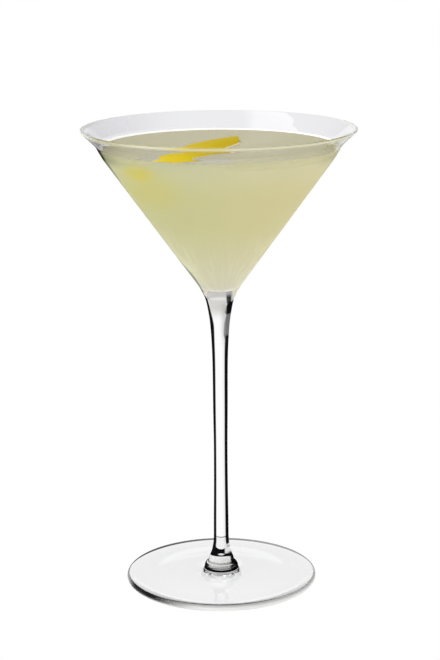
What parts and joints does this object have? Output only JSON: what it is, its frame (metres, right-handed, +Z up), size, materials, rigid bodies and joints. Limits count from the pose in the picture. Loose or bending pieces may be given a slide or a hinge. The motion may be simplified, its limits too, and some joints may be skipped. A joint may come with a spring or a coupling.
{
  "type": "sidecar cocktail",
  "caption": "Cloudy pale-gold citrus cocktail in a conical stemmed glass with a flared lip, with a strip of lemon peel floating on it.",
  "frame": {"origin": "middle of the plane that the foot stands on, under the stem", "axes": "+Z up along the stem, +X to the right and -Y towards the viewer in the picture"},
  "size_m": [0.106, 0.106, 0.182],
  "materials": {
    "clear_glass": "polished clear",
    "cloudy_drink": "wet, cloudy",
    "lemon_zest": "waxy, finely pored"
  },
  "bodies": {
    "root": {"glass": "clear_glass", "drink": "cloudy_drink", "lemon_peel": "lemon_zest"}
  },
  "joints": []
}
